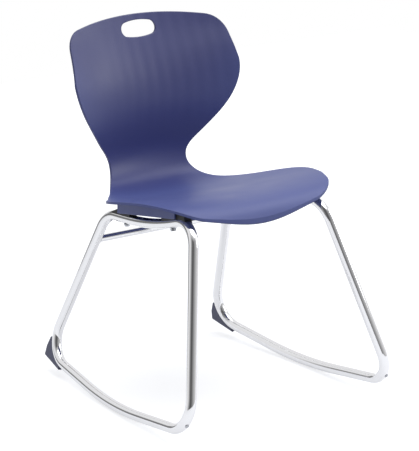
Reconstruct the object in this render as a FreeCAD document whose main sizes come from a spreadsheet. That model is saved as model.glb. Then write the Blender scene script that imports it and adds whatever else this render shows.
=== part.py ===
import FreeCAD, Part
import math
import os
import Sketcher

Vec = FreeCAD.Vector
Rot = FreeCAD.Rotation
Place = FreeCAD.Placement

doc = FreeCAD.newDocument("rocking_chair")
sheet = doc.addObject("Spreadsheet::Sheet", "sizes")

# All sizes in mm and degrees. Y is measured from the front top corner of the frame.
SIZES = [
    # frame tube and its corner points, right and left alike
    ("tube_radius", 11.0),
    ("tube_wall", 2.0),
    ("fit_gap", 0.3),
    ("rail_half", 161.0),
    ("front_top_y", 0.0),
    ("front_top_z", 440.0),
    ("rail_mid_y", 148.0),
    ("rail_mid_z", 392.0),
    ("rear_top_y", 322.0),
    ("rear_top_z", 380.0),
    ("rear_foot_half", 224.0),
    ("rear_foot_y", 469.0),
    ("rear_foot_z", 38.0),
    ("knee_half", 251.0),
    ("knee_y", 170.0),
    ("knee_z", 4.431),
    ("front_foot_half", 261.0),
    ("front_foot_y", -131.0),
    ("front_foot_z", 42.0),
    ("bend_radius", 57.0),
    ("rail_curve_run", 90.0),
    ("rocker_curve_run", 110.0),
    # cross tubes
    ("front_cross_radius", 9.5),
    ("front_cross_y", 36.0),
    ("rear_cross_radius", 8.0),
    ("rear_cross_wall", 1.6),
    ("rear_cross_y", 349.0),
    ("rear_cross_z", 317.0),
    # shell skin, its trimmed outlines and the handle hole
    ("skin_thick", 5.0),
    ("crown_z", 771.0),
    ("crown_radius", 1070.0),
    ("crown_corner_radius", 46.0),
    ("crown_corner_x", 157.0),
    ("crown_side_x", 215.5),
    ("crown_side_z", 640.0),
    ("lip_front_y", -21.0),
    ("lip_radius", 1200.0),
    ("lip_corner_radius", 86.0),
    ("lip_corner_x", 131.0),
    ("lip_side_x", 236.0),
    ("lip_side_y", 104.0),
    ("handle_z", 741.0),
    ("handle_half_length", 44.0),
    ("handle_half_height", 18.0),
    ("handle_end_radius", 15.0),
    # channels and ribs under the pan
    ("channel_half", 13.5),
    ("channel_front_y", 50.0),
    ("channel_rear_y", 262.0),
    ("channel_foot_z", 395.4),
    ("channel_foot_rise", 0.17),
    ("web_thick", 3.0),
    ("web_pitch", 55.0),
    ("cross_web_lift", 7.0),
    ("peg_y", 203.0),
    ("peg_side", 8.0),
    # saddles, bosses and seat screws
    ("front_mount_y", 78.0),
    ("rear_mount_y", 246.0),
    ("saddle_half", 9.0),
    ("saddle_room", 1.2),
    ("saddle_rise", 12.0),
    ("saddle_inner_run", 24.0),
    ("saddle_outer_run", 12.0),
    ("saddle_front_tail_run", 28.0),
    ("saddle_rear_tail_run", 58.0),
    ("saddle_tail_rise", 1.0),
    ("boss_radius", 7.5),
    ("insert_radius", 4.5),
    ("insert_length", 9.0),
    ("screw_radius", 3.0),
    ("screw_hole_radius", 3.5),
    ("screw_length", 43.0),
    ("screw_head_radius", 6.0),
    ("screw_head_height", 4.0),
    ("washer_radius", 7.5),
    ("washer_thick", 1.2),
    # rear bumpers, their pins and the front plugs
    ("bumper_half", 10.5),
    ("bumper_top_y", 453.0),
    ("bumper_top_z", 77.0),
    ("bumper_back_y", 464.0),
    ("bumper_back_z", 54.0),
    ("bumper_heel_y", 467.0),
    ("bumper_heel_z", 33.5),
    ("bumper_toe_y", 398.0),
    ("bumper_toe_z", 18.5),
    ("bumper_round", 3.0),
    ("pin_radius", 2.5),
    ("pin_head_radius", 4.0),
    ("pin_head_height", 2.0),
    ("pin_sink", 5.0),
    ("plug_radius", 2.6),
    ("plug_head_radius", 4.5),
    ("plug_head_height", 2.4),
    ("plug_length", 6.0),
]

# Sections of the skin from the front lip to the crown.
# Each: centre y, centre z, slope of the profile, half width, depth of the cup.
SECTIONS = [
    ("lip", -27.0, 410.0, 66.0, 196.0, 9.0),
    ("nose", -18.0, 429.0, 58.0, 200.0, 9.5),
    ("brow", 1.0, 445.0, 25.0, 205.0, 10.0),
    ("fore", 40.0, 451.5, 1.5, 217.0, 12.5),
    ("thigh", 95.0, 446.0, -9.0, 231.0, 17.0),
    ("pan", 150.0, 435.5, -11.5, 244.0, 20.0),
    ("dish", 200.0, 425.0, -12.0, 238.0, 20.0),
    ("tail", 255.0, 413.5, -11.0, 201.0, 16.0),
    ("heel", 310.0, 404.5, -6.0, 166.0, 11.0),
    ("turn", 350.0, 404.0, 8.0, 137.0, 8.0),
    ("bend", 385.0, 415.5, 33.0, 113.0, 7.0),
    ("curve", 406.0, 437.0, 62.0, 100.0, 8.5),
    ("waist", 415.0, 464.0, 83.0, 101.0, 11.0),
    ("hollow", 411.0, 501.0, 100.0, 124.0, 17.0),
    ("lumbar", 398.5, 545.0, 101.0, 158.0, 27.0),
    ("chest", 392.0, 592.0, 92.0, 192.0, 37.0),
    ("shoulder", 398.0, 640.0, 76.0, 211.0, 44.0),
    ("blade", 416.0, 688.0, 69.0, 206.0, 41.0),
    ("neck", 437.0, 733.0, 67.5, 203.0, 38.0),
    ("crown", 454.0, 780.0, 72.0, 201.0, 36.0),
]
SECTION_SIZES = ("centre_y", "centre_z", "slope", "half", "cup")

table = list(SIZES)
for entry in SECTIONS:
    for label, value in zip(SECTION_SIZES, entry[1:]):
        table.append((entry[0] + "_" + label, value))
for row, (alias, value) in enumerate(table, start=1):
    sheet.set("A%d" % row, alias)
    sheet.set("B%d" % row, repr(float(value)))
    sheet.setAlias("B%d" % row, alias)
doc.recompute()


def size(alias):
    return float(sheet.get(alias))


SIDES = (("right", -1), ("left", 1))
finished = []


def finish(item, label):
    item.Label = label
    finished.append(item)
    return item


def solid_feature(name, shape):
    item = doc.addObject("Part::Feature", name)
    item.Shape = shape
    return item


def boolean(kind, name, base, tool):
    item = doc.addObject(kind, name)
    item.Base = base
    item.Tool = tool
    doc.recompute()
    return item


# Path of one side loop: six corner points joined by straight runs and arcs.
def corner_arc(before, corner, after, radius=None, run=None):
    to_before = (before - corner).normalize()
    to_after = (after - corner).normalize()
    half = to_before.getAngle(to_after) / 2
    if run is None:
        run = radius / math.tan(half)
    else:
        radius = run * math.tan(half)
    inward = (to_before + to_after).normalize()
    centre = corner + inward * (radius / math.sin(half))
    return corner + to_before * run, centre - inward * radius, corner + to_after * run, inward


def loop_corners(side):
    def point(half, y, z):
        return Vec(side * size(half), size(y), size(z))

    return [
        point("rail_half", "front_top_y", "front_top_z"),
        point("rail_half", "rail_mid_y", "rail_mid_z"),
        point("rail_half", "rear_top_y", "rear_top_z"),
        point("rear_foot_half", "rear_foot_y", "rear_foot_z"),
        point("knee_half", "knee_y", "knee_z"),
        point("front_foot_half", "front_foot_y", "front_foot_z"),
    ]


def loop_arcs(side):
    corners = loop_corners(side)
    arcs = []
    for i, corner in enumerate(corners):
        before = corners[i - 1]
        after = corners[(i + 1) % 6]
        if i == 1:
            arcs.append(corner_arc(before, corner, after, run=size("rail_curve_run")))
        elif i == 4:
            arcs.append(corner_arc(before, corner, after, run=size("rocker_curve_run")))
        else:
            arcs.append(corner_arc(before, corner, after, radius=size("bend_radius")))
    return arcs


def loop_pipe(side, radius):
    arcs = loop_arcs(side)
    pieces = []
    for i, (first, middle, last, inward) in enumerate(arcs):
        start = arcs[i - 1][2]
        run = first - start
        pieces.append(Part.makeCylinder(radius, run.Length, start, run))
        bend = Part.Arc(first, middle, last).toShape()
        axis = run.cross(last - first)
        disc = Part.Face(Part.Wire(Part.makeCircle(radius, first, run)))
        angle = math.degrees(bend.LastParameter - bend.FirstParameter)
        pieces.append(disc.revolve(bend.Curve.Center, axis, angle))
    return pieces[0].fuse(pieces[1:]).removeSplitter()


# Frames on the rails where the seat is screwed down: origin on the tube's axis, Z square to it.
def mount_frame(side, which):
    corners = loop_corners(side)
    if which == "front":
        start, end, y = corners[0], corners[1], size("front_mount_y")
    else:
        start, end, y = corners[1], corners[2], size("rear_mount_y")
    part = (y - start.y) / (end.y - start.y)
    origin = start + (end - start) * part
    slope = math.degrees(math.atan2(end.z - start.z, end.y - start.y))
    return Place(origin, Rot(Vec(1, 0, 0), slope))


def mounts():
    return [mount_frame(side, which) for name, side in SIDES for which in ("front", "rear")]


def local_cylinder(frame, radius, low, high):
    shape = Part.makeCylinder(radius, high - low, Vec(0, 0, low))
    shape.Placement = frame
    return shape


# Outward direction and surface point of a bottom bend, for the pins and plugs.
def bend_point(side, index):
    first, middle, last, inward = loop_arcs(side)[index]
    return middle, inward * -1.0


def along(point, direction, radius, low, high):
    return Part.makeCylinder(radius, high - low, point + direction * low, direction)


# Side loops: bent tube, hollow, drilled for the seat screws, bumper pin and front plug.
copes = {}
for name, side in SIDES:
    outer = loop_pipe(side, size("tube_radius"))
    inner = loop_pipe(side, size("tube_radius") - size("tube_wall"))
    tube = outer.cut(inner)
    drills = []
    for which in ("front", "rear"):
        frame = mount_frame(side, which)
        drills.append(local_cylinder(frame, size("screw_hole_radius"), -20, 20))
    point, direction = bend_point(side, 3)
    drills.append(along(point, direction, size("pin_radius") + size("fit_gap") / 2, 5, 20))
    point, direction = bend_point(side, 5)
    drills.append(along(point, direction, size("plug_radius") + size("fit_gap") / 2, 5, 20))
    frame_loop = solid_feature("side_frame_" + name, tube.cut(drills))
    finish(frame_loop, "side_frame_" + name)
    cope = solid_feature("cope_" + name, loop_pipe(side, size("tube_radius") + size("fit_gap")))
    copes[name] = cope


# Cross tubes: coped at both ends to the side loops.
def cross_tube(label, radius, bore, y, z, half):
    outer = doc.addObject("Part::Cylinder", label + "_outer")
    inner = doc.addObject("Part::Cylinder", label + "_bore")
    for item, expression in ((outer, radius), (inner, bore)):
        item.setExpression("Radius", expression)
        item.setExpression("Height", "2 * (%s)" % half)
        item.Placement = Place(Vec(-1, 0, 0), Rot(Vec(0, 1, 0), 90))
        item.setExpression("Placement.Base.x", "-(%s)" % half)
        item.setExpression("Placement.Base.y", y)
        item.setExpression("Placement.Base.z", z)
    pipe = boolean("Part::Cut", label + "_pipe", outer, inner)
    both = doc.addObject("Part::MultiFuse", label + "_copes")
    both.Shapes = [copes["right"], copes["left"]]
    tube = boolean("Part::Cut", label, pipe, both)
    pieces = sorted(tube.Shape.Solids, key=lambda solid: abs(solid.CenterOfMass.x))
    return pieces[0]


rail_fall = "(sizes.front_top_z - sizes.rail_mid_z) / (sizes.rail_mid_y - sizes.front_top_y)"
front_middle = cross_tube(
    "front_cross", "sizes.front_cross_radius", "sizes.front_cross_radius - sizes.tube_wall",
    "sizes.front_cross_y", "sizes.front_top_z - (sizes.front_cross_y - sizes.front_top_y) * " + rail_fall,
    "sizes.rail_half")
rear_middle = cross_tube(
    "rear_cross", "sizes.rear_cross_radius", "sizes.rear_cross_radius - sizes.rear_cross_wall",
    "sizes.rear_cross_y", "sizes.rear_cross_z", "sizes.rail_half + 14")
finish(solid_feature("front_cross_tube", front_middle), "front_cross_tube")
finish(solid_feature("rear_cross_tube", rear_middle), "rear_cross_tube")


def body_plane(body, role):
    for feature in body.Origin.OriginFeatures:
        if feature.Role == role:
            return feature


def new_sketch(body, name, role):
    sketch = body.newObject("Sketcher::SketchObject", name)
    sketch.AttachmentSupport = (body_plane(body, role), [""])
    sketch.MapMode = "FlatFace"
    return sketch


def bind(sketch, index, name, expression):
    sketch.renameConstraint(index, name)
    sketch.setExpression("Constraints." + name, expression)


def curved_section(body, part, name, gap, thick):
    # Two concentric arcs and two end lines: one cross-section of the cupped skin.
    half = size(part + "_half")
    cup = size(part + "_cup")
    radius = (half * half + cup * cup) / (2 * cup)
    spread = math.atan2(half, radius - cup)
    low, high = -math.pi / 2 - spread, -math.pi / 2 + spread
    sketch = new_sketch(body, name, "XZ_Plane")
    sketch.AttachmentOffset = Place(Vec(0, size(part + "_centre_z"), -size(part + "_centre_y")),
                                    Rot(Vec(1, 0, 0), size(part + "_slope")))
    sketch.setExpression(".AttachmentOffset.Base.y", "sizes.%s_centre_z" % part)
    sketch.setExpression(".AttachmentOffset.Base.z", "-sizes.%s_centre_y" % part)
    sketch.setExpression(".AttachmentOffset.Rotation.Angle", "sizes.%s_slope" % part)
    inner = radius + gap
    middle = Vec(0, radius, 0)
    up = Vec(0, 0, 1)
    sketch.addGeometry(Part.ArcOfCircle(Part.Circle(middle, up, inner), low, high))
    sketch.addGeometry(Part.ArcOfCircle(Part.Circle(middle, up, inner + thick), low, high))
    ends = []
    for angle in (low, high):
        ray = Vec(math.cos(angle), math.sin(angle), 0)
        ends.append((middle + ray * inner, middle + ray * (inner + thick)))
    for start, end in ends:
        sketch.addGeometry(Part.LineSegment(start, end))
    for first, at_first, second, at_second in ((0, 1, 2, 1), (2, 2, 1, 1), (0, 2, 3, 1), (3, 2, 1, 2), (0, 3, 1, 3)):
        sketch.addConstraint(Sketcher.Constraint("Coincident", first, at_first, second, at_second))
    sketch.addConstraint(Sketcher.Constraint("PointOnObject", 0, 3, -2))
    sketch.addConstraint(Sketcher.Constraint("PointOnObject", 0, 3, 3))
    sketch.addConstraint(Sketcher.Constraint("Horizontal", 0, 1, 0, 2))
    sketch.addConstraint(Sketcher.Constraint("Horizontal", 1, 1, 1, 2))
    thick_index = sketch.addConstraint(Sketcher.Constraint("Distance", 3, thick))
    half_index = sketch.addConstraint(Sketcher.Constraint("DistanceX", -1, 1, 0, 2, ends[1][0].x))
    radius_index = sketch.addConstraint(Sketcher.Constraint("Radius", 0, inner))
    middle_index = sketch.addConstraint(Sketcher.Constraint("DistanceY", -1, 1, 0, 3, radius))
    arc_radius = "(sizes.{0}_half ^ 2 + sizes.{0}_cup ^ 2) / (2 * sizes.{0}_cup)".format(part)
    bind(sketch, thick_index, "thick", "%s" % ("sizes.skin_thick" if gap == 0 else repr(thick)))
    bind(sketch, half_index, "half", "sizes.%s_half * (%s + %r) / (%s)" % (part, arc_radius, gap, arc_radius))
    bind(sketch, radius_index, "radius", "%s + %r" % (arc_radius, gap))
    bind(sketch, middle_index, "middle", arc_radius)
    return sketch


def skin_loft(body, name, parts, gap, thick):
    sketches = [curved_section(body, part, name + "_" + part, gap, thick) for part in parts]
    doc.recompute()
    loft = body.newObject("PartDesign::AdditiveLoft", name)
    loft.Profile = sketches[0]
    loft.Sections = sketches[1:]
    loft.Ruled = False
    loft.Closed = False
    body.Tip = loft
    doc.recompute()
    return loft


names = [entry[0] for entry in SECTIONS]
skin = doc.addObject("PartDesign::Body", "skin")
skin_loft(skin, "skin_loft", names, 0, size("skin_thick"))


def trim_outline(body, name, role, corner_x, corner_radius, far_radius, far_edge, side_x, side_at, sign):
    # A frame-shaped profile: everything outside a bowed end with two round corners is cut away.
    # sign +1: the end lies at high values (crown), -1: at low values (front lip).
    arc_middle = Vec(0, far_edge - sign * far_radius, 0)
    reach = far_radius - corner_radius
    corner = Vec(corner_x, arc_middle.y + sign * math.sqrt(reach ** 2 - corner_x ** 2), 0)
    from_side = Vec(side_x, side_at, 0) - corner
    tilt = math.atan2(from_side.y, from_side.x)
    swing = math.acos(corner_radius / from_side.Length)
    touch_angle = tilt + sign * swing
    touch = corner + Vec(math.cos(touch_angle), math.sin(touch_angle), 0) * corner_radius
    join = corner + (corner - arc_middle).normalize() * corner_radius
    half_angle = (touch_angle + math.atan2((corner - arc_middle).y, (corner - arc_middle).x)) / 2
    halfway = corner + Vec(math.cos(half_angle), math.sin(half_angle), 0) * corner_radius
    top = Vec(0, far_edge, 0)

    def flip(point):
        return Vec(-point.x, point.y, 0)

    outer_y = far_edge + sign * 60
    side = Vec(side_x, side_at, 0)
    out_low = Vec(side_x + 60, side_at, 0)
    out_high = Vec(side_x + 60, outer_y, 0)
    sketch = new_sketch(body, name, role)
    shapes = [
        Part.LineSegment(side, touch),
        Part.Arc(touch, halfway, join),
        Part.Arc(join, top, flip(join)),
        Part.Arc(flip(join), flip(halfway), flip(touch)),
        Part.LineSegment(flip(touch), flip(side)),
        Part.LineSegment(flip(side), flip(out_low)),
        Part.LineSegment(flip(out_low), flip(out_high)),
        Part.LineSegment(flip(out_high), out_high),
        Part.LineSegment(out_high, out_low),
        Part.LineSegment(out_low, side),
    ]
    for shape in shapes:
        sketch.addGeometry(shape)
    return sketch


def through_pocket(body, name, sketch):
    before = body.Shape.Volume
    pocket = body.newObject("PartDesign::Pocket", name)
    pocket.Profile = sketch
    pocket.Type = 1
    pocket.Midplane = True
    body.Tip = pocket
    doc.recompute()
    if not body.Shape.Volume < before - 1:
        raise RuntimeError("pocket removed nothing: " + name)
    return pocket


crown_sketch = trim_outline(
    skin, "crown_outline", "XZ_Plane", size("crown_corner_x"), size("crown_corner_radius"),
    size("crown_radius"), size("crown_z"), size("crown_side_x"), size("crown_side_z"), 1)
through_pocket(skin, "crown_trim", crown_sketch)
lip_sketch = trim_outline(
    skin, "lip_outline", "XY_Plane", size("lip_corner_x"), size("lip_corner_radius"),
    size("lip_radius"), size("lip_front_y"), size("lip_side_x"), size("lip_side_y"), -1)
through_pocket(skin, "lip_trim", lip_sketch)


# Handle hole: an oval of four tangent arcs through the back.
def oval_sketch(body, name, role, half_length, half_height, end_radius, centre):
    side_middle = half_length - end_radius
    rise = ((half_height - end_radius) ** 2 - side_middle ** 2) / (2.0 * (half_height - end_radius))
    flat_radius = half_height - rise
    angle = math.atan2(-rise, side_middle)
    sketch = new_sketch(body, name, role)
    end_cos, end_sin = math.cos(angle) * end_radius, math.sin(angle) * end_radius
    upper = Vec(side_middle + end_cos, centre + end_sin, 0)
    lower = Vec(side_middle + end_cos, centre - end_sin, 0)

    def flip(point):
        return Vec(-point.x, point.y, 0)

    sketch.addGeometry(Part.Arc(lower, Vec(half_length, centre, 0), upper))
    sketch.addGeometry(Part.Arc(upper, Vec(0, centre + half_height, 0), flip(upper)))
    sketch.addGeometry(Part.Arc(flip(upper), Vec(-half_length, centre, 0), flip(lower)))
    sketch.addGeometry(Part.Arc(flip(lower), Vec(0, centre - half_height, 0), lower))
    return sketch


handle_sketch = oval_sketch(
    skin, "handle_outline", "XZ_Plane", size("handle_half_length"), size("handle_half_height"),
    size("handle_end_radius"), size("handle_z"))
through_pocket(skin, "handle_hole", handle_sketch)

# Space below the middle of the skin: everything moulded under the pan stays inside it.
zone = doc.addObject("PartDesign::Body", "under_zone")
skin_loft(zone, "zone_loft", names[2:9], 2.5, 70.0)


# Channels over the rails, webs across the pan, locating pegs and screw bosses.
def foot_height(y):
    return size("channel_foot_z") + size("channel_foot_rise") * (size("channel_rear_y") - y)


def block(x0, x1, y0, y1, lift):
    points = [Vec(x0, y0, foot_height(y0) + lift), Vec(x0, y1, foot_height(y1) + lift),
              Vec(x0, y1, 480), Vec(x0, y0, 480)]
    face = Part.Face(Part.makePolygon(points + points[:1]))
    return face.extrude(Vec(x1 - x0, 0, 0))


web = size("web_thick")
front_y, rear_y = size("channel_front_y"), size("channel_rear_y")
rail_half, channel_half = size("rail_half"), size("channel_half")
mouldings = []
for name, side in SIDES:
    low, high = side * rail_half - channel_half, side * rail_half + channel_half
    mouldings.append(block(low, low + web, front_y, rear_y, 0))
    mouldings.append(block(high - web, high, front_y, rear_y, 0))
    mouldings.append(block(low, high, front_y, front_y + web, 0))
    mouldings.append(block(low, high, rear_y - web, rear_y, 0))
web_rows = [front_y + size("web_pitch") * step for step in (1, 2, 3)]
for y in web_rows:
    mouldings.append(block(-rail_half - channel_half, rail_half + channel_half, y, y + web, size("cross_web_lift")))
for x in (-55, 55):
    mouldings.append(block(x - web / 2, x + web / 2, front_y, rear_y, size("cross_web_lift")))
peg = size("peg_side")
for name, side in SIDES:
    corners = loop_corners(side)
    part = (size("peg_y") - corners[1].y) / (corners[2].y - corners[1].y)
    rail_top = corners[1].z + (corners[2].z - corners[1].z) * part + size("tube_radius") + size("fit_gap")
    low = Vec(side * rail_half - peg / 2, size("peg_y") - peg / 2, rail_top)
    mouldings.append(Part.makeBox(peg, peg, 60, low))
seat_top = size("tube_radius") + size("saddle_rise")
for frame in mounts():
    mouldings.append(local_cylinder(frame, size("boss_radius"), seat_top, seat_top + 60))
field = solid_feature("under_field", mouldings[0].fuse(mouldings[1:]).removeSplitter())
underside = boolean("Part::Common", "underside", field, zone)
moulded = boolean("Part::Fuse", "moulded", skin, underside)
socket_tools = []
for frame in mounts():
    top = seat_top + size("insert_length")
    room = size("saddle_half") + size("saddle_room")
    length = 2 * size("saddle_rear_tail_run") + 4
    saddle_bay = Part.makeBox(2 * room, length, seat_top + 40, Vec(-room, -length / 2, -40))
    saddle_bay.Placement = frame
    socket_tools.append(local_cylinder(frame, size("insert_radius") + 0.05, seat_top - 5, top))
    socket_tools.append(saddle_bay)
sockets = solid_feature("sockets_and_bays", socket_tools[0].fuse(socket_tools[1:]))
seat_shell = boolean("Part::Cut", "seat_shell", moulded, sockets)
finish(seat_shell, "seat_shell")


# Saddles: black spacers that sit on the rail and carry the bosses, with a tapered tail.
def saddle(label, frame, cope, front):
    body = doc.addObject("PartDesign::Body", label + "_blank")
    side_view = new_sketch(body, label + "_side", "YZ_Plane")
    toward = -1 if front else 1
    top = seat_top
    inner_end = -toward * size("saddle_inner_run")
    outer_end = toward * size("saddle_outer_run")
    tail_end = toward * size("saddle_front_tail_run" if front else "saddle_rear_tail_run")
    tail_top = size("tube_radius") + size("saddle_tail_rise")
    points = [(inner_end, 0), (inner_end, top), (outer_end, top), (tail_end, tail_top - 7), (tail_end, 0)]
    for i, (a, b) in enumerate(points):
        c, d = points[(i + 1) % len(points)]
        side_view.addGeometry(Part.LineSegment(Vec(a, b, 0), Vec(c, d, 0)))
    pad = body.newObject("PartDesign::Pad", label + "_pad")
    pad.Profile = side_view
    pad.setExpression("Length", "2 * sizes.saddle_half")
    pad.Midplane = True
    body.Tip = pad
    doc.recompute()
    bore_view = new_sketch(body, label + "_bore", "XY_Plane")
    bore_view.addGeometry(Part.Circle(Vec(0, 0, 0), Vec(0, 0, 1), size("screw_hole_radius")))
    bore_view.addConstraint(Sketcher.Constraint("Coincident", 0, 3, -1, 1))
    radius_index = bore_view.addConstraint(Sketcher.Constraint("Radius", 0, size("screw_hole_radius")))
    bind(bore_view, radius_index, "radius", "sizes.screw_hole_radius")
    through_pocket(body, label + "_hole", bore_view)
    body.Placement = frame
    cut = boolean("Part::Cut", label, body, cope)
    return cut


for name, side in SIDES:
    for which in ("front", "rear"):
        label = "saddle_%s_%s" % (which, name)
        finish(saddle(label, mount_frame(side, which), copes[name], which == "front"), label)

# Seat screws, washers and inserts: four of each.
screws, washers, inserts = [], [], []
for frame in mounts():
    under = -size("tube_radius") - 0.05
    head_top = under - size("washer_thick")
    shank = local_cylinder(frame, size("screw_radius"), head_top, head_top + size("screw_length"))
    head = local_cylinder(frame, size("screw_head_radius"), head_top - size("screw_head_height"), head_top)
    socket = local_cylinder(frame, size("screw_radius") * 0.7, head_top - 5, head_top - 1.6)
    screws.append(shank.fuse(head).cut(socket).removeSplitter())
    ring = local_cylinder(frame, size("washer_radius"), head_top, under)
    washers.append(ring.cut(local_cylinder(frame, size("screw_radius") + 0.2, head_top - 1, under + 1)))
    sleeve = local_cylinder(frame, size("insert_radius"), seat_top, seat_top + size("insert_length"))
    inserts.append(sleeve.cut(local_cylinder(frame, size("screw_radius") + 0.05, seat_top - 1, seat_top + 20)))
finish(solid_feature("seat_screws", Part.makeCompound(screws)), "seat_screws")
finish(solid_feature("seat_washers", Part.makeCompound(washers)), "seat_washers")
finish(solid_feature("threaded_inserts", Part.makeCompound(inserts)), "threaded_inserts")

# Rear bumpers: wedges in the outer corner of the rear bottom bends, each held by a pin.
for name, side in SIDES:
    corners = loop_corners(side)
    up = (corners[2] - corners[3]).normalize()
    ahead = (corners[4] - corners[3]).normalize()
    normal = up.cross(ahead).normalize()

    def in_plane(y, z):
        # the point of the bend's own plane that has this y and z
        offset = Vec(0, y - corners[3].y, z - corners[3].z)
        return Vec(corners[3].x - (normal.y * offset.y + normal.z * offset.z) / normal.x, y, z)

    middle, outward = bend_point(side, 3)
    outline = [in_plane(size("bumper_" + part + "_y"), size("bumper_" + part + "_z"))
               for part in ("top", "back", "heel", "toe")]
    outline.append(middle + (middle - outline[2]).normalize() * 6)
    wire = Part.makePolygon(outline + outline[:1])
    wedge = Part.Face(wire).extrude(normal * (2 * size("bumper_half")))
    wedge.translate(normal * -size("bumper_half"))
    heel_edges = []
    for edge in wedge.Edges:
        ends = [vertex.Point for vertex in edge.Vertexes]
        centre = (ends[0] + ends[1]) * 0.5
        if (centre - outline[2]).Length < 1 or (centre - outline[1]).Length < 1:
            heel_edges.append(edge)
    wedge = wedge.makeFillet(size("bumper_round"), heel_edges)
    reach = (outline[2] - middle).dot(outward)
    bore = along(middle, outward, size("pin_radius") + size("fit_gap") / 2, 0, reach + 10)
    sink = along(middle, outward, size("pin_head_radius") + size("fit_gap") / 2, reach - size("pin_sink"), reach + 10)
    blank = solid_feature("bumper_blank_" + name, wedge.cut([bore, sink]))
    label = "rear_bumper_" + name
    coped = boolean("Part::Cut", label + "_coped", blank, copes[name])
    largest = max(coped.Shape.Solids, key=lambda solid: solid.Volume)
    finish(solid_feature(label, largest), label)
    seat = reach - size("pin_sink")
    shank = along(middle, outward, size("pin_radius"), size("tube_radius") - 6, seat)
    head = along(middle, outward, size("pin_head_radius"), seat, seat + size("pin_head_height"))
    finish(solid_feature("bumper_pin_" + name, shank.fuse(head).removeSplitter()), "bumper_pin_" + name)

# Front plugs: round-headed studs in the drain holes of the front bottom bends.
for name, side in SIDES:
    middle, outward = bend_point(side, 5)
    surface = size("tube_radius")
    stem = along(middle, outward, size("plug_radius"), surface - size("plug_length"), surface + 0.6)
    rise = size("plug_head_height")
    ball_radius = (size("plug_head_radius") ** 2 + rise ** 2) / (2 * rise)
    ball = Part.makeSphere(ball_radius, middle + outward * (surface + 0.4 + rise - ball_radius))
    disc = along(middle, outward, size("plug_head_radius"), surface + 0.4, surface + 0.4 + rise + 1)
    head = ball.common(disc)
    finish(solid_feature("front_plug_" + name, stem.fuse(head).removeSplitter()), "front_plug_" + name)

# The chair is moved so that the origin lies on the floor under the middle of its box.
doc.recompute()
box = FreeCAD.BoundBox()
for item in finished:
    box.add(item.Shape.optimalBoundingBox(False, False))
to_origin = Place(Vec(-box.Center.x, -box.Center.y, -box.ZMin), Rot())
for item in finished:
    item.Placement = to_origin.multiply(item.Placement)
doc.recompute()

# Checks and export.
os.makedirs("parts", exist_ok=True)
box = FreeCAD.BoundBox()
for item in finished:
    if "Invalid" in item.State or "Error" in item.State:
        raise RuntimeError("bad state: " + item.Label)
    if item.Shape.isNull() or not item.Shape.isValid():
        raise RuntimeError("bad shape: " + item.Label)
    box.add(item.Shape.optimalBoundingBox(False, False))
    print(item.Label, len(item.Shape.Solids), round(item.Shape.Volume), item.Shape.BoundBox)
    item.Shape.exportStep("parts/%s.step" % item.Label)
print("moved by", to_origin.Base, "whole box", box)
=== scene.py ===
import math
import bpy
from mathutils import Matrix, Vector


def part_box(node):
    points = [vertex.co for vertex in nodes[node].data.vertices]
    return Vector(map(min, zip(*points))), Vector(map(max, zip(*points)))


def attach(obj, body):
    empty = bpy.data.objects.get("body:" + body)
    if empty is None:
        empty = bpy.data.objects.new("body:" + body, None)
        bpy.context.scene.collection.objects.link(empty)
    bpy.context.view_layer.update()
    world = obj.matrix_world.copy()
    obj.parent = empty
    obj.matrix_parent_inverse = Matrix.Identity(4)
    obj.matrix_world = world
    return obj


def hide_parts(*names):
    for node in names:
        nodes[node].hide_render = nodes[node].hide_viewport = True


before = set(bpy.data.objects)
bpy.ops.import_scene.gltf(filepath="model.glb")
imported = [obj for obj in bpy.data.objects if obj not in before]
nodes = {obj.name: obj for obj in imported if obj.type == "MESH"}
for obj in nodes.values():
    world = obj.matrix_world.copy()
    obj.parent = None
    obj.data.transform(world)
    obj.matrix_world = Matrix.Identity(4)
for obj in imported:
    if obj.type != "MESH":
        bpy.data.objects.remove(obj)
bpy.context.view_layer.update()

bpy.ops.object.select_all(action="DESELECT")

# Side frames: each one closed loop of 22 mm steel tube, bent cold and chrome plated after welding.
# Nickel under bright chrome gives a mirror with a slight waviness along the drawn tube.
MM = 0.001


def linear(hex_colour):
    values = [int(hex_colour[i:i + 2], 16) / 255 for i in (1, 3, 5)]
    return [v / 12.92 if v <= 0.04045 else ((v + 0.055) / 1.055) ** 2.4 for v in values] + [1.0]


def add_node(tree, kind, settings=(), inputs=(), links=()):
    made = tree.nodes.new(kind)
    for name, value in dict(settings).items():
        setattr(made, name, value)
    for name, value in dict(inputs).items():
        made.inputs[name].default_value = value
    for name, source in dict(links).items():
        tree.links.new(source, made.inputs[name])
    return made


def new_material(name):
    material = bpy.data.materials.new(name)
    material.use_nodes = True
    tree = material.node_tree
    tree.nodes.clear()
    return material, tree


def give(material, *names):
    for name in names:
        mesh = nodes[name].data
        mesh.materials.clear()
        mesh.materials.append(material)


chrome, tree = new_material("chrome_plate")
place = add_node(tree, "ShaderNodeTexCoord")
ripple_size, smear_size = 14 * MM, 60 * MM
ripple = add_node(tree, "ShaderNodeTexNoise", inputs={"Scale": 1 / ripple_size, "Detail": 1.0},
                  links={"Vector": place.outputs["Object"]})
wave = add_node(tree, "ShaderNodeBump", inputs={"Strength": 0.35, "Distance": 0.04 * MM},
                links={"Height": ripple.outputs["Fac"]})
smear = add_node(tree, "ShaderNodeTexNoise", inputs={"Scale": 1 / smear_size, "Detail": 3.0},
                 links={"Vector": place.outputs["Object"]})
haze = add_node(tree, "ShaderNodeMapRange",
                inputs={"From Min": 0.3, "From Max": 0.7, "To Min": 0.05, "To Max": 0.10},
                links={"Value": smear.outputs["Fac"]})
shine = add_node(tree, "ShaderNodeBsdfPrincipled", inputs={"Base Color": linear("#e4e4e6"), "Metallic": 1.0},
                 links={"Roughness": haze.outputs["Result"], "Normal": wave.outputs["Normal"]})
add_node(tree, "ShaderNodeOutputMaterial", links={"Surface": shine.outputs["BSDF"]})
give(chrome, "side_frame_right", "side_frame_left")

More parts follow.
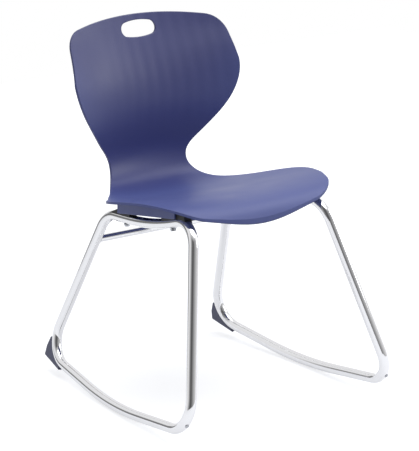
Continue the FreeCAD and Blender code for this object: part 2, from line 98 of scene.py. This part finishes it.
# Cross tubes: straight lengths of steel tube, 19 mm at the front and 16 mm at the rear, chromed with the
# loops. They are coped at both ends to fit the side tubes and welded to them.
give(chrome, "front_cross_tube", "rear_cross_tube")

# Welds: a bead of chromed steel round each end of both cross tubes, where it meets the side loop.
# The bead follows the coped end, so it runs further out at the sides of the tube than at top and bottom.
sides = ((-1, "right"), (1, "left"))
front_low, front_high = [Vector(corner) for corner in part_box("front_cross_tube")]
rear_low, rear_high = [Vector(corner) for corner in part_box("rear_cross_tube")]
front_middle, rear_middle = (front_low + front_high) / 2, (rear_low + rear_high) / 2
bead_thick = 1.4 * MM
# For each cross tube: its name and middle, how far out the bead sits, the bead's radius and the depth of
# the coping.
welds = (("front", front_middle, 153.3 * MM, 10.3 * MM, 4.6 * MM),
         ("rear", rear_middle, 166.5 * MM, 8.8 * MM, 3.6 * MM))
for side, side_name in sides:
    for end, middle, out, radius, cope in welds:
        bpy.ops.object.select_all(action="DESELECT")
        bpy.ops.curve.primitive_bezier_circle_add(radius=radius, location=(side * out, middle.y, middle.z),
                                                  rotation=(0, side * math.pi / 2, 0))
        bead = bpy.context.object
        bead.name = "weld_%s_%s" % (end, side_name)
        dip = -side * cope
        for turn, point in enumerate(bead.data.splines[0].bezier_points):
            shift = Vector((0, 0, dip if turn % 2 else -dip)) / 2
            point.co += shift
            point.handle_left += shift
            point.handle_right += shift
        bead.data.bevel_depth = bead_thick
        bead.data.bevel_resolution = 3
        bead.data.resolution_u = 24
        bpy.ops.object.convert(target="MESH")
        bpy.ops.object.transform_apply(location=True, rotation=True, scale=True)
        bpy.ops.object.shade_smooth()
        bead.data.materials.clear()
        bead.data.materials.append(chrome)
        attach(bead, "root")


# Saddles: black glass-filled nylon spacers between rail and shell, moulded with a fine matt grain.
# Each sits on the rail and is clamped by a screw. The real grain is about 0.2 mm, drawn coarser to show.
def grained_plastic(name, colour, ior):
    material, tree = new_material(name)
    grain_size = 1.2 * MM
    place = add_node(tree, "ShaderNodeTexCoord")
    grain = add_node(tree, "ShaderNodeTexNoise", inputs={"Scale": 1 / grain_size, "Detail": 2.0},
                     links={"Vector": place.outputs["Object"]})
    relief = add_node(tree, "ShaderNodeBump", inputs={"Strength": 0.4, "Distance": 0.05 * MM},
                      links={"Height": grain.outputs["Fac"]})
    matt = add_node(tree, "ShaderNodeMapRange", inputs={"To Min": 0.55, "To Max": 0.7},
                    links={"Value": grain.outputs["Fac"]})
    skin = add_node(tree, "ShaderNodeBsdfPrincipled", inputs={"Base Color": linear(colour), "IOR": ior},
                    links={"Roughness": matt.outputs["Result"], "Normal": relief.outputs["Normal"]})
    add_node(tree, "ShaderNodeOutputMaterial", links={"Surface": skin.outputs["BSDF"]})
    return material


nylon = grained_plastic("black_nylon", "#101014", 1.53)
give(nylon, "saddle_front_right", "saddle_front_left", "saddle_rear_right", "saddle_rear_left")


# Front saddles: the real ones run on over the front bend of the rail, right up to the shell's underside.
# Each is one moulded block, hollowed below for the side tube and notched on the inside for the cross tube.
def cut_away(block, tool):
    cutting = block.modifiers.new("cut", "BOOLEAN")
    cutting.object = tool
    cutting.solver = "EXACT"
    bpy.ops.object.select_all(action="DESELECT")
    bpy.context.view_layer.objects.active = block
    block.select_set(True)
    bpy.ops.object.modifier_apply(modifier="cut")
    bpy.data.objects.remove(tool)


# Side view of the rail's middle line: it drops 48 mm over its front 148 mm. Behind the corner of its front
# bend, it meets the middle of the cross tube after 36 mm and the screw after 78 mm.
rail_run, rail_drop, cross_run, screw_run = 148 * MM, 48 * MM, 36 * MM, 78 * MM
rail_way = Vector((0, rail_run, -rail_drop)).normalized()
rail_up = Vector((0, -rail_way.z, rail_way.y))
slope = rail_drop / rail_run
rail_front = front_middle + Vector((0, -cross_run, cross_run * slope))
screw_place = rail_front + Vector((0, screw_run, -screw_run * slope))
tube_hollow, cross_notch, screw_hole = 11.3 * MM, 9.8 * MM, 3.5 * MM
bend_run, bent, straight = 56.8 * MM, 31.4 * MM, 20 * MM
bar_back, bar_down = 0.130, 0.110
# Outline of the block in mm from the screw: along the rail and up from the rail's middle line.
outline = [(24, 0), (24, 23), (-46, 23), (-61, 15.5), (-61, -10), (-25, 0)]
for side, side_name in sides:
    bpy.ops.object.select_all(action="DESELECT")
    bpy.ops.mesh.primitive_circle_add(vertices=len(outline), fill_type="NGON")
    block = bpy.context.object
    block.name = "long_saddle_front_" + side_name
    saddle_low, saddle_high = [Vector(corner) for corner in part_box("saddle_front_" + side_name)]
    middle_x = (saddle_low.x + saddle_high.x) / 2
    for corner, (run, rise) in zip(block.data.vertices, outline):
        corner.co = screw_place + rail_way * run * MM + rail_up * rise * MM
        corner.co.x = saddle_low.x
    bpy.ops.object.mode_set(mode="EDIT")
    bpy.ops.mesh.select_all(action="SELECT")
    bpy.ops.mesh.extrude_region_move(TRANSFORM_OT_translate={"value": (saddle_high.x - saddle_low.x, 0, 0)})
    bpy.ops.mesh.select_all(action="SELECT")
    bpy.ops.mesh.normals_make_consistent(inside=False)
    bpy.ops.object.mode_set(mode="OBJECT")
    softened = block.modifiers.new("edges", "BEVEL")
    softened.width = 0.8 * MM
    softened.segments = 2
    bpy.ops.object.modifier_apply(modifier="edges")

    # The hollow for the side tube: a round bar along the rail, round the front bend and down the leg, which
    # goes 100 mm out, 131 mm forward and 398 mm down from corner to corner.
    bpy.ops.object.select_all(action="DESELECT")
    bpy.ops.curve.primitive_bezier_curve_add()
    channel = bpy.context.object
    leg_way = Vector((side * 100, -131, -398)).normalized()
    top = Vector((middle_x, rail_front.y, rail_front.z))
    stops = [top + rail_way * bar_back, top + rail_way * bend_run, top + leg_way * bend_run,
             top + leg_way * bar_down]
    ways = [-rail_way, -rail_way, leg_way, leg_way]
    befores, afters = (bent, straight, bent, straight), (straight, bent, straight, bent)
    points = channel.data.splines[0].bezier_points
    points.add(2)
    for point, stop, way, before, after in zip(points, stops, ways, befores, afters):
        point.handle_left_type = point.handle_right_type = "FREE"
        point.co = stop
        point.handle_left = stop - way * before
        point.handle_right = stop + way * after
    channel.data.dimensions = "3D"
    channel.data.bevel_depth = tube_hollow
    channel.data.bevel_resolution = 10
    channel.data.resolution_u = 24
    channel.data.use_fill_caps = True
    bpy.ops.object.convert(target="MESH")
    cut_away(block, channel)

    # The notch for the cross tube and the hole for the screw.
    bpy.ops.object.select_all(action="DESELECT")
    bpy.ops.mesh.primitive_cylinder_add(vertices=48, radius=cross_notch, depth=abs(middle_x),
                                        rotation=(0, math.pi / 2, 0),
                                        location=(middle_x / 2, front_middle.y, front_middle.z))
    cut_away(block, bpy.context.object)
    bpy.ops.object.select_all(action="DESELECT")
    bpy.ops.mesh.primitive_cylinder_add(vertices=32, radius=screw_hole, depth=80 * MM,
                                        location=(middle_x, screw_place.y, screw_place.z),
                                        rotation=(math.atan2(rail_way.z, rail_way.y), 0, 0))
    cut_away(block, bpy.context.object)
    block.data.materials.clear()
    block.data.materials.append(nylon)
    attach(block, "root")
    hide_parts("saddle_front_" + side_name)

# Shell: one-piece injection-moulded polypropylene, navy, with a fine satin grain on the sitting side.
# Shallow upright flutes about 30 mm apart show as faint bands on the upper back, more so on its left.
# The real grain is about 0.3 mm, drawn coarser to show. The bevel softens the square rim in the shading.
poly, tree = new_material("navy_polypropylene")
flute_pitch, pebble_size, flow_size = 31 * MM, 1.5 * MM, 90 * MM
place = add_node(tree, "ShaderNodeTexCoord")
split = add_node(tree, "ShaderNodeSeparateXYZ", links={"Vector": place.outputs["Object"]})
turns = add_node(tree, "ShaderNodeMath", settings={"operation": "MULTIPLY"},
                 inputs={1: 2 * math.pi / flute_pitch}, links={0: split.outputs["X"]})
wavy = add_node(tree, "ShaderNodeMath", settings={"operation": "SINE"}, links={0: turns.outputs["Value"]})
rise = add_node(tree, "ShaderNodeMapRange", settings={"interpolation_type": "SMOOTHSTEP"},
                inputs={"From Min": 0.50, "From Max": 0.66, "To Min": 0.0, "To Max": 1.0},
                links={"Value": split.outputs["Z"]})
leftward = add_node(tree, "ShaderNodeMapRange", settings={"interpolation_type": "SMOOTHSTEP"},
                    inputs={"From Min": -0.14, "From Max": 0.06, "To Min": 0.15, "To Max": 1.0},
                    links={"Value": split.outputs["X"]})
strength = add_node(tree, "ShaderNodeMath", settings={"operation": "MULTIPLY"},
                    links={0: leftward.outputs["Result"], 1: rise.outputs["Result"]})
flutes = add_node(tree, "ShaderNodeMath", settings={"operation": "MULTIPLY"},
                  links={0: wavy.outputs["Value"], 1: strength.outputs["Value"]})
soft_edge = add_node(tree, "ShaderNodeBevel", settings={"samples": 6}, inputs={"Radius": 2.2 * MM})
flute_bump = add_node(tree, "ShaderNodeBump", inputs={"Strength": 1.0, "Distance": 0.18 * MM},
                      links={"Height": flutes.outputs["Value"], "Normal": soft_edge.outputs["Normal"]})
pebbles = add_node(tree, "ShaderNodeTexNoise",
                   inputs={"Scale": 1 / pebble_size, "Detail": 3.0, "Roughness": 0.6},
                   links={"Vector": place.outputs["Object"]})
pebble_bump = add_node(tree, "ShaderNodeBump", inputs={"Strength": 0.5, "Distance": 0.07 * MM},
                       links={"Height": pebbles.outputs["Fac"], "Normal": flute_bump.outputs["Normal"]})
flow = add_node(tree, "ShaderNodeTexNoise", inputs={"Scale": 1 / flow_size, "Detail": 4.0},
                links={"Vector": place.outputs["Object"]})
satin = add_node(tree, "ShaderNodeMapRange",
                 inputs={"From Min": 0.3, "From Max": 0.7, "To Min": 0.40, "To Max": 0.48},
                 links={"Value": flow.outputs["Fac"]})
# Two tints for the seat, which vary at random and are made lighter as painted light from above, and a darker
# pair for the back as painted shade; the upper one of these is greyer, a painted sheen.
lit_seat_tints = add_node(tree, "ShaderNodeMix", settings={"data_type": "RGBA"},
                inputs={6: linear("#3f497e"), 7: linear("#454f87")}, links={"Factor": flow.outputs["Fac"]})
# Height mask for the painted sheen: above 0.52 m the back colour turns greyer and less blue.
upper_back_sheen_height = add_node(tree, "ShaderNodeMapRange", settings={"interpolation_type": "SMOOTHSTEP"},
                  inputs={"From Min": 0.52, "From Max": 0.68}, links={"Value": split.outputs["Z"]})
shaded_back_and_sheen_tints = add_node(tree, "ShaderNodeMix", settings={"data_type": "RGBA"},
                     inputs={6: linear("#343a71"), 7: linear("#323664")},
                     links={"Factor": upper_back_sheen_height.outputs["Result"]})
# Mask from the seat to the back: painted light on the seat, painted shade on the back.
lit_seat_to_shaded_back = add_node(tree, "ShaderNodeMapRange", settings={"interpolation_type": "SMOOTHSTEP"},
                    inputs={"From Min": 0.13, "From Max": 0.23}, links={"Value": split.outputs["Y"]})
shell_colour_with_painted_light = add_node(tree, "ShaderNodeMix", settings={"data_type": "RGBA"},
                        links={"Factor": lit_seat_to_shaded_back.outputs["Result"], 6: lit_seat_tints.outputs[2],
                               7: shaded_back_and_sheen_tints.outputs[2]})
plastic = add_node(tree, "ShaderNodeBsdfPrincipled", inputs={"IOR": 1.49},
                   links={"Base Color": shell_colour_with_painted_light.outputs[2], "Roughness": satin.outputs["Result"],
                          "Normal": pebble_bump.outputs["Normal"]})
add_node(tree, "ShaderNodeOutputMaterial", links={"Surface": plastic.outputs["BSDF"]})
give(poly, "seat_shell")


# Seat screws, washers and bumper pins: turned and stamped steel with bright zinc plate, a soft grey shine.
# The screws go up through rail and saddle, and the pins are driven into the tube.
def spotted_material(name, colour, spot_size, smooth, rough, **more):
    material, tree = new_material(name)
    place = add_node(tree, "ShaderNodeTexCoord")
    spots = add_node(tree, "ShaderNodeTexNoise", inputs={"Scale": 1 / spot_size, "Detail": 2.0},
                     links={"Vector": place.outputs["Object"]})
    gloss = add_node(tree, "ShaderNodeMapRange", inputs={"To Min": smooth, "To Max": rough},
                     links={"Value": spots.outputs["Fac"]})
    skin = add_node(tree, "ShaderNodeBsdfPrincipled", inputs={"Base Color": linear(colour), **more},
                    links={"Roughness": gloss.outputs["Result"]})
    add_node(tree, "ShaderNodeOutputMaterial", links={"Surface": skin.outputs["BSDF"]})
    return material


zinc = spotted_material("bright_zinc", "#b9bcc2", 2.5 * MM, 0.22, 0.40, Metallic=1.0)
give(zinc, "seat_screws", "seat_washers", "bumper_pin_right", "bumper_pin_left")

# Threaded inserts: turned brass, pressed into the bosses of the shell and hidden there.
# The lathe leaves a fine bright skin.
brass = spotted_material("turned_brass", "#d3b36a", 0.8 * MM, 0.2, 0.35, Metallic=1.0)
give(brass, "threaded_inserts")

# Rear bumpers: wedges of dark grey-blue moulded plastic, tough and slightly soft, with a matt skin.
# Each fills the outer corner of a rear bottom bend and is held by a pin.
stop_plastic = grained_plastic("grey_blue_plastic", "#55576c", 1.5)
give(stop_plastic, "rear_bumper_right", "rear_bumper_left")

# Front plugs: small domed studs of pale grey polyethylene, moulded and pressed into the drain holes
# of the tube. Their waxy skin has a soft shine.
pale = spotted_material("pale_grey_polyethylene", "#c8cad0", 2 * MM, 0.35, 0.5, IOR=1.5)
give(pale, "front_plug_right", "front_plug_left")

# Floor: white studio floor. It shows white to the camera and in the chrome, and keeps the chair's shadow.
# Its own light is weaker within half a metre of the chair, so that the shadow stays visible.
bpy.ops.mesh.primitive_plane_add(size=5.6)
floor = bpy.context.object
floor.name = "studio_floor"
paper, tree = new_material("white_studio_floor")
paint = add_node(tree, "ShaderNodeBsdfDiffuse", inputs={"Color": linear("#c3c5c9")})
path = add_node(tree, "ShaderNodeLightPath")
in_chrome = add_node(tree, "ShaderNodeMath", settings={"operation": "MULTIPLY"}, inputs={1: 0.48},
                     links={0: path.outputs["Is Glossy Ray"]})
place = add_node(tree, "ShaderNodeTexCoord")
reach = add_node(tree, "ShaderNodeVectorMath", settings={"operation": "LENGTH"},
                 links={0: place.outputs["Object"]})
outward = add_node(tree, "ShaderNodeMapRange", settings={"interpolation_type": "SMOOTHSTEP"},
                   inputs={"From Min": 0.5, "From Max": 2.0, "To Min": 0.60, "To Max": 0.80},
                   links={"Value": reach.outputs["Value"]})
lift = add_node(tree, "ShaderNodeMath", settings={"operation": "MULTIPLY_ADD"},
                links={0: path.outputs["Is Camera Ray"], 1: outward.outputs["Result"],
                       2: in_chrome.outputs["Value"]})
glow = add_node(tree, "ShaderNodeEmission", inputs={"Color": (1, 1, 1, 1)},
                links={"Strength": lift.outputs["Value"]})
both = add_node(tree, "ShaderNodeAddShader", links={0: paint.outputs["BSDF"], 1: glow.outputs["Emission"]})
add_node(tree, "ShaderNodeOutputMaterial", links={"Surface": both.outputs["Shader"]})
floor.data.materials.append(paper)

# Camera: at the photo's height and angle, with a long lens. Angles in degrees, sizes in metres.
view_azimuth, view_elevation = -35.292, 16.196
camera_data = bpy.data.cameras.new("photo_camera")
camera_data.sensor_width = 36.0
camera_data.lens = 188.29
camera_data.clip_end = 60.0
camera = bpy.data.objects.new("photo_camera", camera_data)
camera.location = (-2.772, -3.9157, 1.754)
camera.rotation_euler = (math.radians(90 - view_elevation), 0, math.radians(view_azimuth))
bpy.context.scene.collection.objects.link(camera)
bpy.context.scene.camera = camera

# Studio room: white all round. Mirror-like pieces see its darker parts: the unlit side behind the camera,
# which fades to the right, and a low dark strip at the back left. The camera itself sees plain white.
strip_level, dome_level = 0.22, 0.62
world = bpy.data.worlds.new("white_room")
bpy.context.scene.world = world
world.use_nodes = True
tree = world.node_tree
tree.nodes.clear()
toward = add_node(tree, "ShaderNodeTexCoord")
axes = add_node(tree, "ShaderNodeSeparateXYZ", links={"Vector": toward.outputs["Generated"]})
compass = add_node(tree, "ShaderNodeMath", settings={"operation": "ARCTAN2"},
                   links={0: axes.outputs["Y"], 1: axes.outputs["X"]})
around = add_node(tree, "ShaderNodeMath", settings={"operation": "SUBTRACT"},
                  inputs={1: math.radians(view_azimuth - 90)}, links={0: compass.outputs["Value"]})
wrapped = add_node(tree, "ShaderNodeMath", settings={"operation": "WRAP"}, inputs={1: math.pi, 2: -math.pi},
                   links={0: around.outputs["Value"]})
turn = add_node(tree, "ShaderNodeMapRange", inputs={"From Min": -math.pi, "From Max": math.pi},
                links={"Value": wrapped.outputs["Value"]})
height = add_node(tree, "ShaderNodeMapRange", inputs={"From Min": -0.2, "From Max": 0.4},
                  links={"Value": axes.outputs["Z"]})
# A turn of 0.5 looks from the chair towards the camera, and the turn grows to the camera's right.
fades = {}
for name, source, stops in (
        ("unlit", turn.outputs["Result"], [(0.0, 0.95), (0.29, 0.95), (0.37, 0.40), (0.43, 0.14),
                                           (0.49, 0.10), (0.68, 0.60), (0.85, 1.0), (1.0, 0.95)]),
        ("strip_side", turn.outputs["Result"], [(0.12, 0.0), (0.15, 1.0), (0.205, 1.0), (0.235, 0.0)]),
        ("strip_height", height.outputs["Result"], [(0.07, 0.0), (0.16, 1.0), (0.73, 1.0), (0.90, 0.0)]),
        ("above", axes.outputs["Z"], [(0.70, 0.0), (0.95, 1.0)])):
    ramp = add_node(tree, "ShaderNodeValToRGB", links={"Fac": source})
    while len(ramp.color_ramp.elements) < len(stops):
        ramp.color_ramp.elements.new(0.5)
    for element, (position, level) in zip(ramp.color_ramp.elements, stops):
        element.position = position
        element.color = (level, level, level, 1.0)
    fades[name] = ramp.outputs["Color"]
strip = add_node(tree, "ShaderNodeMath", settings={"operation": "MULTIPLY"},
                 links={0: fades["strip_side"], 1: fades["strip_height"]})
side_level = add_node(tree, "ShaderNodeMix", inputs={3: 1.0},
                      links={"Factor": fades["above"], 2: fades["unlit"]})
mirror_level = add_node(tree, "ShaderNodeMix", inputs={3: strip_level},
                        links={"Factor": strip.outputs["Value"], 2: side_level.outputs[0]})
path = add_node(tree, "ShaderNodeLightPath")
for_diffuse = add_node(tree, "ShaderNodeMapRange", inputs={"To Min": 1.0, "To Max": dome_level},
                       links={"Value": path.outputs["Is Diffuse Ray"]})
amount = add_node(tree, "ShaderNodeMix",
                  links={"Factor": path.outputs["Is Glossy Ray"], 2: for_diffuse.outputs["Result"],
                         3: mirror_level.outputs[0]})
sky = add_node(tree, "ShaderNodeBackground", inputs={"Color": (1, 1, 1, 1)},
               links={"Strength": amount.outputs[0]})
add_node(tree, "ShaderNodeOutputWorld", links={"Surface": sky.outputs["Background"]})

# Lamps: one large soft box overhead and one to the right of the chair.
# For each: where it hangs, the point it aims at, the length of its side and its watts.
for name, place, aim, box_side, watts in (("overhead_box", (0.3, -0.2, 2.6), (0, 0, 0.3), 2.4, 46),
                                          ("right_box", (2.6, -1.4, 1.5), (0, 0, 0.5), 1.6, 26)):
    data = bpy.data.lights.new(name, "AREA")
    data.shape = "SQUARE"
    data.size = box_side
    data.energy = watts
    lamp = bpy.data.objects.new(name, data)
    lamp.location = place
    lamp.rotation_euler = (Vector(aim) - Vector(place)).to_track_quat("-Z", "Y").to_euler()
    bpy.context.scene.collection.objects.link(lamp)

bpy.context.scene.view_settings.view_transform = "Standard"
